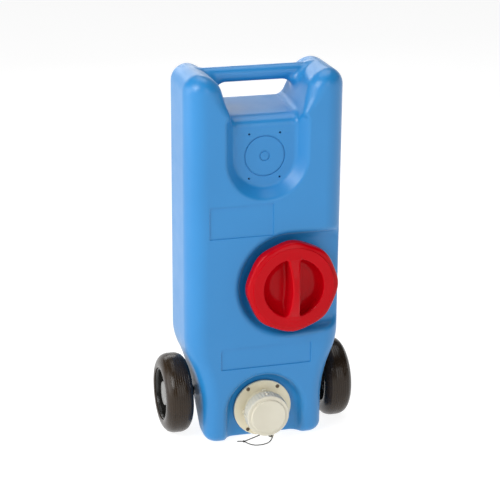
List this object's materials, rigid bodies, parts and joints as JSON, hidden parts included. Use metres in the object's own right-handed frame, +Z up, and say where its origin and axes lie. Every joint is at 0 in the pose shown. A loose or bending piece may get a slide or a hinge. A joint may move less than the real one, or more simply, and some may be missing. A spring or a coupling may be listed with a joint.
{
  "type": "portable waste tote",
  "caption": "Upright wheeled tank with a carrying handle, a large screw cap in a scoop and a corded drain cap in an arch at the foot",
  "frame": {"origin": "on the floor under the middle of the whole object, midway between the wheels and between the filler cap's grip and the tyres' rear", "axes": "+Z up, -Y towards the front face with the caps, +X to the right as the front shows it, along the axle"},
  "size_m": [0.3614, 0.2046, 0.7],
  "materials": {
    "tank_plastic": "satin",
    "cap_plastic": "gloss",
    "outlet_plastic": "satin",
    "seal_rubber": "matte",
    "tyre_rubber": "matte",
    "rim_plastic": "satin",
    "hub_cap_plastic": "satin",
    "axle_steel": "zinc plated",
    "screw_steel": "blackened",
    "cord_nylon": "braided",
    "crimp_metal": "blackened"
  },
  "bodies": {
    "tank": {"tank_body": "tank_plastic", "outlet_gasket": "seal_rubber", "outlet_flange": "outlet_plastic", "outlet_screws": "screw_steel", "axle": "axle_steel", "left_axle_spacer": "rim_plastic", "left_washer": "axle_steel", "left_push_nut": "axle_steel", "right_axle_spacer": "rim_plastic", "right_washer": "axle_steel", "right_push_nut": "axle_steel"},
    "left_wheel": {"left_tyre": "tyre_rubber", "left_rim": "rim_plastic", "left_hub_bush": "rim_plastic", "left_hub_cap": "hub_cap_plastic"},
    "right_wheel": {"right_tyre": "tyre_rubber", "right_rim": "rim_plastic", "right_hub_bush": "rim_plastic", "right_hub_cap": "hub_cap_plastic"},
    "filler_cap_carrier": {"filler_cap_seal": "seal_rubber"},
    "filler_cap": {"filler_cap": "cap_plastic"},
    "outlet_cap_carrier": {"outlet_cap_seal": "seal_rubber", "tether_ring": "outlet_plastic", "rear_cord": "cord_nylon", "front_cord": "cord_nylon", "cord_crimp": "crimp_metal"},
    "outlet_cap": {"outlet_cap": "outlet_plastic"}
  },
  "joints": [
    {"name": "left_wheel_spin", "type": "hinge", "parent": "tank", "child": "left_wheel", "pos_m": [-0.1547, 0.02685, 0.0755], "axis": [1, 0, 0], "continuous": true},
    {"name": "right_wheel_spin", "type": "hinge", "parent": "tank", "child": "right_wheel", "pos_m": [0.1547, 0.02685, 0.0755], "axis": [1, 0, 0], "continuous": true},
    {"name": "filler_cap_lift", "type": "slide", "parent": "tank", "child": "filler_cap_carrier", "axis": [0, -1, 0], "range_m": [0, 0.016]},
    {"name": "filler_cap_turn", "type": "hinge", "parent": "filler_cap_carrier", "child": "filler_cap", "pos_m": [0.046, -0.06335, 0.306], "axis": [0, -1, 0], "range_deg": [0, 720]},
    {"name": "outlet_cap_pull", "type": "slide", "parent": "tank", "child": "outlet_cap_carrier", "axis": [0, -1, 0], "range_m": [0, 0.024]},
    {"name": "outlet_cap_twist", "type": "hinge", "parent": "outlet_cap_carrier", "child": "outlet_cap", "pos_m": [0, -0.06335, 0.057], "axis": [0, -1, 0], "range_deg": [0, 45]}
  ],
  "couplings": [
    {"joint": "filler_cap_lift", "follows": "filler_cap_turn", "m_per_rad": 0.0012732}
  ]
}
